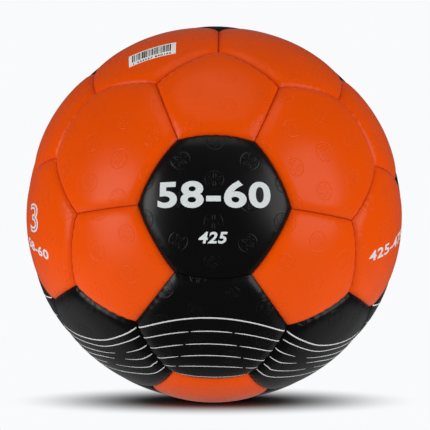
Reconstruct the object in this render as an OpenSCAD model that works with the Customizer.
// A size 3 handball: thirty-two cover panels stitched over foam pads, textile linings and an air bladder.
// The ball's centre is the origin, +Z is up as it lies, and the front hexagon faces -Y.

/* [Ball] */
// Diameter over the cover panels
ball_d = 188; // [172:1:190]
// How far the front hexagon looks up, in degrees
front_tilt = 4.8; // [-20:0.1:20]
// How far the ball has rolled clockwise, seen from the front, in degrees
ball_roll = 1.4; // [-20:0.1:20]

/* [Cover] */
// Thickness of the synthetic leather in the middle of a panel
cover_t = 1.6; // [1.2:0.1:2]
// Thickness of the edge that is turned inwards for the stitching
flange_t = 2.2; // [1.8:0.1:2.6]
// Room between the turned edges of two neighbouring panels
seam_gap = 0.3; // [0.1:0.05:0.6]
// Distances from a panel's edge at which its rounding gets steeper, from the outside in
shoulder_w = [5.4, 3.4, 1.7];
// Slope of the rounding from each of those distances on, as a share
shoulder_slope_shares = [0.13, 0.38, 0.85];

/* [Layers] */
// Thickness of the foam pad behind each panel
foam_t = 2; // [1:0.1:3]
// Thickness of the textile lining behind each pad
lining_t = 0.8; // [0.4:0.1:1.5]
// Wall of the air bladder
bladder_t = 1; // [0.6:0.1:1.6]
// Room between two layers
layer_gap = 0.2; // [0.1:0.05:0.3]

/* [Stitching] */
// Thickness of the waxed thread
thread_d = 0.7; // [0.4:0.1:1]
// Room between two runs of thread where three seams meet
thread_end_gap = 1.6; // [1.2:0.1:3]

/* [Valve] */
// Bore that the pump needle goes into
needle_bore_d = 2.3; // [1.8:0.1:2.6]
// Depth of that bore
needle_bore_l = 11; // [8:0.5:12]
// Shank of the valve's soft core
core_d = 4.4; // [4:0.1:4.8]
// Length of the core
core_l = 14; // [13:0.5:16]
// Collar that locks the core into the sleeve
core_collar_d = 5.6; // [5:0.1:6]
// Height of that collar
core_collar_t = 1.6; // [1:0.1:2.4]
// Depth of the collar below the core's mouth
core_collar_depth = 5; // [4:0.1:7]
// Width of the slit that closes behind the needle
slit_w = 0.2; // [0.1:0.05:0.3]
// Rubber sleeve round the core
sleeve_d = 7.8; // [7.2:0.1:8.4]
// Length of the sleeve
sleeve_l = 16; // [15:0.5:20]
// Foot of the sleeve, bonded inside the bladder
foot_d = 22; // [16:1:30]
// Thickness of that foot
foot_t = 1.4; // [1:0.1:2]
// How far the sleeve's mouth lies below the panel
valve_recess = 0.4; // [0.2:0.1:1]
// How far the core's mouth lies below the sleeve's
core_recess = 0.3; // [0.1:0.1:0.8]
// Room between the core and its sleeve
core_gap = 0.1; // [0.05:0.05:0.2]
// Bevel round the valve hole and the needle bore
mouth_bevel = 0.5; // [0.2:0.1:0.8]

/* [Label] */
// Length of the stuck-on label
label_l = 24.8; // [18:0.2:30]
// Height of the label
label_h = 11.8; // [8:0.2:14]
// Thickness of the label
label_t = 0.2; // [0.1:0.05:0.4]
// Room under the label for its glue
glue_gap = 0.1; // [0.05:0.05:0.2]
// Place of the label's middle on its panel, across and along
label_at = [-14.1, 7.2];

/* [Hidden] */
$fn = 180;
overrun = 1;

// Angles that the five-sided and six-sided panels of such a ball share
near_pentagon_a = acos(sqrt((5 + 2 * sqrt(5)) / 15));
far_pentagon_a = acos(sqrt((5 - 2 * sqrt(5)) / 15));
near_hexagon_a = acos(sqrt(5) / 3);
far_hexagon_a = acos(1 / 3);
skew_a = acos((cos(near_pentagon_a) - cos(near_pentagon_a) * cos(far_hexagon_a))
  / (sin(near_pentagon_a) * sin(far_hexagon_a)));
hexagon_edge_a = near_hexagon_a / 2;
pentagon_edge_a = pentagon_edge(atan(tan(hexagon_edge_a) / cos(30)));
corner_a = atan(tan(hexagon_edge_a) / cos(30));
seam_half_a = acos(cos(corner_a) / cos(hexagon_edge_a));
blank_a = corner_a + 2;

// A panel's edge distance on the ball, from the corner that it shares with the hexagons
function pentagon_edge(a) = let (half = acos(cos(a) / cos(hexagon_edge_a))) asin(tan(half) / tan(36));

// Radii of the layers, from the cover inwards
ball_r = ball_d / 2;
foam_r = ball_r - cover_t - layer_gap;
lining_r = foam_r - foam_t - layer_gap;
bladder_r = lining_r - lining_t - layer_gap;
flange_r = bladder_r + thread_d + 2 * layer_gap;
thread_r = bladder_r + layer_gap + thread_d / 2;
edge_w = seam_gap / 2;
lining_edge_w = edge_w + flange_t + layer_gap;
blank_w = ball_r * sin(blank_a);

// Mouth heights of the valve along its axis
sleeve_top = ball_r - valve_recess;
core_top = sleeve_top - core_recess;

// Seats of the panels: angle from the front, turn about the front axis, spin about the panel's own axis
hexagon_seats = [
  [0, 0, 30],
  [near_hexagon_a, 30, 0],
  [near_hexagon_a, 150, 0],
  [near_hexagon_a, 270, 0],
  [far_hexagon_a, 90 + skew_a, skew_a],
  [far_hexagon_a, 90 - skew_a, -skew_a],
  [far_hexagon_a, 210 - skew_a, -skew_a],
  [far_hexagon_a, 330 + skew_a, skew_a],
  [far_hexagon_a, 210 + skew_a, skew_a],
  [far_hexagon_a, 330 - skew_a, -skew_a],
  [180 - far_hexagon_a, 150 - skew_a, skew_a],
  [180 - far_hexagon_a, 30 + skew_a, -skew_a],
  [180 - far_hexagon_a, 150 + skew_a, -skew_a],
  [180 - far_hexagon_a, 30 - skew_a, skew_a],
  [180 - far_hexagon_a, 270 - skew_a, skew_a],
  [180 - far_hexagon_a, 270 + skew_a, -skew_a],
  [180 - near_hexagon_a, 90, 0],
  [180 - near_hexagon_a, 210, 0],
  [180 - near_hexagon_a, 330, 0],
];
pentagon_seats = [
  [near_pentagon_a, 90, 180],
  [near_pentagon_a, 210, 180],
  [near_pentagon_a, 330, 180],
  [far_pentagon_a, 150, 180],
  [far_pentagon_a, 30, 180],
  [far_pentagon_a, 270, 180],
  [180 - far_pentagon_a, 90, 0],
  [180 - far_pentagon_a, 210, 0],
  [180 - far_pentagon_a, 330, 0],
  [180 - near_pentagon_a, 150, 0],
  [180 - near_pentagon_a, 30, 0],
  [180 - near_pentagon_a, 270, 0],
];
valve_seat = [180, 0, 30];
label_seat = hexagon_seats[4];
label_turn = 57.4;

orange_leather = [0.85, 0.3, 0.09];
black_leather = [0.12, 0.12, 0.13];
foam_colour = [0.93, 0.9, 0.8];
lining_colour = [0.8, 0.8, 0.78];
rubber_colour = [0.25, 0.24, 0.24];
thread_colour = [0.88, 0.86, 0.8];

// Turns the ball from its own axis, which runs out through the front hexagon, to the way it lies.
module as_it_lies()
  rotate([-front_tilt, ball_roll, 0])
    rotate([90, 0, 0])
      children();

module at_seat(seat)
  as_it_lies()
    rotate([0, 0, seat[1]])
      rotate([0, seat[0], 0])
        rotate([0, 0, seat[2]])
          children();

// X runs out through the middle of an edge, Y along the seam and Z into the panel.
module at_edge(sides, i)
  rotate([0, 0, i * 360 / sides])
    rotate([0, edge_angle(sides) - 90, 0])
      children();

function edge_angle(sides) = sides == 6 ? hexagon_edge_a : pentagon_edge_a;

// Each step of the rounding is part of a sphere whose middle lies on the seam's own axis,
// so that the step runs at an even distance from the seam.
function step_rim(j) = j == 0 ? sqrt(pow(ball_r, 2) - pow(shoulder_w[0], 2))
  : sqrt(pow(step_r(j - 1), 2) - pow(step_z(j - 1) - shoulder_w[j], 2));
function step_z(j) = shoulder_w[j] + shoulder_slope_shares[j] * step_rim(j);
function step_r(j) = step_rim(j) * sqrt(1 + pow(shoulder_slope_shares[j], 2));

// A round piece of shell, a little wider than a hexagon.
module blank(outer, inner)
  difference() {
    intersection() {
      sphere(outer);
      cylinder(r = outer * sin(blank_a), h = outer + overrun);
    }
    sphere(inner);
  }

// What lies outside a polygon's edges, or closer to them than the given distance.
module trimmings(sides, distance)
  for (i = [0 : sides - 1])
    at_edge(sides, i)
      translate([0, -blank_w, -blank_w])
        cube([ball_r + overrun, 2 * blank_w, blank_w + distance]);

module rounded_blank(sides, count)
  intersection() {
    if (count > 1) rounded_blank(sides, count - 1);
    else blank(ball_r, flange_r);
    at_edge(sides, count)
      translate([0, 0, step_z(ceil(count / sides) - 1)])
        sphere(step_r(ceil(count / sides) - 1));
  }

// A panel with rounded shoulders and an edge that is turned in for the stitching.
module cover_panel(sides)
  difference() {
    rounded_blank(sides, sides * len(shoulder_w));
    trimmings(sides, edge_w);
    difference() {
      blank(ball_r - cover_t, flange_r - overrun);
      trimmings(sides, edge_w + flange_t);
    }
  }

module layer(sides, outer, thickness)
  difference() {
    blank(outer, outer - thickness);
    trimmings(sides, lining_edge_w);
  }

module valve_hole()
  cylinder(d = sleeve_d + 2 * layer_gap, h = ball_r + overrun);

// One run of thread on the seam at the given edge.
module thread_run() {
  run_a = seam_half_a - asin(thread_end_gap / 2 / thread_r);
  rotate([0, 0, -run_a])
    rotate_extrude(angle = 2 * run_a)
      translate([thread_r, 0])
        circle(d = thread_d);
}

function seat_axis(s) = [sin(s[0]) * cos(s[1]), sin(s[0]) * sin(s[1]), cos(s[0])];

// X runs out halfway between two pentagons, and Z along the axis of the seam that joins their corners.
module between(a, b) {
  x = (a + b) / norm(a + b);
  y = (b - a) / norm(b - a);
  z = cross(x, y);
  multmatrix([[x[0], y[0], z[0], 0], [x[1], y[1], z[1], 0], [x[2], y[2], z[2], 0], [0, 0, 0, 1]])
    children();
}

module front_hexagon() color(black_leather) at_seat(hexagon_seats[0]) cover_panel(6);
module upper_right_front_hexagon() color(orange_leather) at_seat(hexagon_seats[1]) cover_panel(6);
module upper_left_front_hexagon() color(orange_leather) at_seat(hexagon_seats[2]) cover_panel(6);
module lower_front_hexagon() color(black_leather) at_seat(hexagon_seats[3]) cover_panel(6);
module top_left_hexagon() color(orange_leather) at_seat(hexagon_seats[4]) cover_panel(6);
module top_right_hexagon() color(orange_leather) at_seat(hexagon_seats[5]) cover_panel(6);
module left_hexagon() color(orange_leather) at_seat(hexagon_seats[6]) cover_panel(6);
module right_hexagon() color(orange_leather) at_seat(hexagon_seats[7]) cover_panel(6);
module lower_left_hexagon() color(black_leather) at_seat(hexagon_seats[8]) cover_panel(6);
module lower_right_hexagon() color(black_leather) at_seat(hexagon_seats[9]) cover_panel(6);
module rear_upper_left_hexagon() color(black_leather) at_seat(hexagon_seats[10]) cover_panel(6);
module rear_upper_right_hexagon() color(black_leather) at_seat(hexagon_seats[11]) cover_panel(6);
module rear_left_hexagon() color(orange_leather) at_seat(hexagon_seats[12]) cover_panel(6);
module rear_right_hexagon() color(black_leather) at_seat(hexagon_seats[13]) cover_panel(6);
module rear_bottom_left_hexagon() color(black_leather) at_seat(hexagon_seats[14]) cover_panel(6);
module rear_bottom_right_hexagon() color(black_leather) at_seat(hexagon_seats[15]) cover_panel(6);
module rear_upper_hexagon() color(orange_leather) at_seat(hexagon_seats[16]) cover_panel(6);
module rear_lower_left_hexagon() color(orange_leather) at_seat(hexagon_seats[17]) cover_panel(6);
module rear_lower_right_hexagon() color(orange_leather) at_seat(hexagon_seats[18]) cover_panel(6);

module upper_front_pentagon() color(orange_leather) at_seat(pentagon_seats[0]) cover_panel(5);
module left_front_pentagon() color(orange_leather) at_seat(pentagon_seats[1]) cover_panel(5);
module right_front_pentagon() color(orange_leather) at_seat(pentagon_seats[2]) cover_panel(5);
module upper_left_pentagon() color(orange_leather) at_seat(pentagon_seats[3]) cover_panel(5);
module upper_right_pentagon() color(orange_leather) at_seat(pentagon_seats[4]) cover_panel(5);
module bottom_pentagon() color(orange_leather) at_seat(pentagon_seats[5]) cover_panel(5);
module top_pentagon() color(black_leather) at_seat(pentagon_seats[6]) cover_panel(5);
module lower_left_pentagon() color(black_leather) at_seat(pentagon_seats[7]) cover_panel(5);
module lower_right_pentagon() color(black_leather) at_seat(pentagon_seats[8]) cover_panel(5);
module rear_left_pentagon() color(orange_leather) at_seat(pentagon_seats[9]) cover_panel(5);
module rear_right_pentagon() color(orange_leather) at_seat(pentagon_seats[10]) cover_panel(5);
module rear_lower_pentagon() color(black_leather) at_seat(pentagon_seats[11]) cover_panel(5);

// The one panel with a hole, for the valve.
module valve_hexagon()
  color(black_leather)
    at_seat(valve_seat)
      difference() {
        cover_panel(6);
        valve_hole();
        translate([0, 0, ball_r - mouth_bevel])
          cylinder(d1 = sleeve_d + 2 * layer_gap, d2 = sleeve_d + 2 * layer_gap + 4 * mouth_bevel, h = 2 * mouth_bevel);
      }

module hexagon_foam_pads()
  color(foam_colour)
    for (seat = hexagon_seats)
      at_seat(seat) layer(6, foam_r, foam_t);

module pentagon_foam_pads()
  color(foam_colour)
    for (seat = pentagon_seats)
      at_seat(seat) layer(5, foam_r, foam_t);

module valve_foam_pad()
  color(foam_colour)
    at_seat(valve_seat)
      difference() {
        layer(6, foam_r, foam_t);
        valve_hole();
      }

module hexagon_linings()
  color(lining_colour)
    for (seat = hexagon_seats)
      at_seat(seat) layer(6, lining_r, lining_t);

module pentagon_linings()
  color(lining_colour)
    for (seat = pentagon_seats)
      at_seat(seat) layer(5, lining_r, lining_t);

module valve_lining()
  color(lining_colour)
    at_seat(valve_seat)
      difference() {
        layer(6, lining_r, lining_t);
        valve_hole();
      }

// A run of thread on each of the sixty seams round the pentagons and the thirty between two hexagons.
module seam_threads()
  color(thread_colour) {
    for (seat = pentagon_seats, i = [0 : 4])
      at_seat(seat) at_edge(5, i) thread_run();
    as_it_lies()
      for (a = [0 : len(pentagon_seats) - 2], b = [a + 1 : len(pentagon_seats) - 1])
        if (seat_axis(pentagon_seats[a]) * seat_axis(pentagon_seats[b]) > 0)
          between(seat_axis(pentagon_seats[a]), seat_axis(pentagon_seats[b])) thread_run();
  }

module bladder()
  color(rubber_colour)
    difference() {
      sphere(bladder_r);
      sphere(bladder_r - bladder_t);
      at_seat(valve_seat) valve_hole();
    }

// The sleeve's stem runs out through all layers, and its foot lies inside the bladder.
module valve_sleeve()
  color(rubber_colour)
    at_seat(valve_seat)
      difference() {
        union() {
          translate([0, 0, sleeve_top - sleeve_l])
            cylinder(d = sleeve_d, h = sleeve_l);
          intersection() {
            sphere(bladder_r - bladder_t - layer_gap);
            translate([0, 0, bladder_r - bladder_t - layer_gap - foot_t])
              cylinder(d = foot_d, h = foot_t + overrun);
          }
        }
        translate([0, 0, sleeve_top - sleeve_l - overrun])
          cylinder(d = core_d + 2 * core_gap, h = sleeve_l + 2 * overrun);
        translate([0, 0, core_top - core_collar_depth - core_collar_t - core_gap])
          cylinder(d = core_collar_d + 2 * core_gap, h = core_collar_t + 2 * core_gap);
      }

// The core has a straight bore for the needle and a slit in its end that closes when the needle is out.
module valve_core()
  color(rubber_colour)
    at_seat(valve_seat)
      difference() {
        union() {
          translate([0, 0, core_top - core_l])
            cylinder(d = core_d, h = core_l);
          translate([0, 0, core_top - core_collar_depth - core_collar_t])
            cylinder(d = core_collar_d, h = core_collar_t);
        }
        translate([0, 0, core_top - needle_bore_l])
          cylinder(d = needle_bore_d, h = needle_bore_l + overrun);
        translate([0, 0, core_top - mouth_bevel])
          cylinder(d1 = needle_bore_d, d2 = needle_bore_d + 4 * mouth_bevel, h = 2 * mouth_bevel);
        translate([-needle_bore_d / 2, -slit_w / 2, core_top - core_l - overrun])
          cube([needle_bore_d, slit_w, core_l - needle_bore_l + 2 * overrun]);
      }

// A thin label that follows the panel's curve.
module price_label()
  color([0.95, 0.95, 0.93])
    at_seat(label_seat)
      intersection() {
        difference() {
          sphere(ball_r + glue_gap + label_t);
          sphere(ball_r + glue_gap);
        }
        translate([label_at[0], label_at[1], ball_r * cos(corner_a)])
          rotate([0, 0, label_turn])
            translate([-label_l / 2, -label_h / 2, 0])
              cube([label_l, label_h, ball_r]);
      }

front_hexagon();
upper_front_pentagon();
left_front_pentagon();
right_front_pentagon();
upper_right_front_hexagon();
upper_left_front_hexagon();
lower_front_hexagon();
top_left_hexagon();
top_right_hexagon();
left_hexagon();
right_hexagon();
lower_left_hexagon();
lower_right_hexagon();
upper_left_pentagon();
upper_right_pentagon();
bottom_pentagon();
top_pentagon();
lower_left_pentagon();
lower_right_pentagon();
rear_upper_left_hexagon();
rear_upper_right_hexagon();
rear_left_hexagon();
rear_right_hexagon();
rear_bottom_left_hexagon();
rear_bottom_right_hexagon();
rear_upper_hexagon();
rear_lower_left_hexagon();
rear_lower_right_hexagon();
rear_left_pentagon();
rear_right_pentagon();
rear_lower_pentagon();
valve_hexagon();
hexagon_foam_pads();
pentagon_foam_pads();
valve_foam_pad();
hexagon_linings();
pentagon_linings();
valve_lining();
seam_threads();
bladder();
valve_sleeve();
valve_core();
price_label();
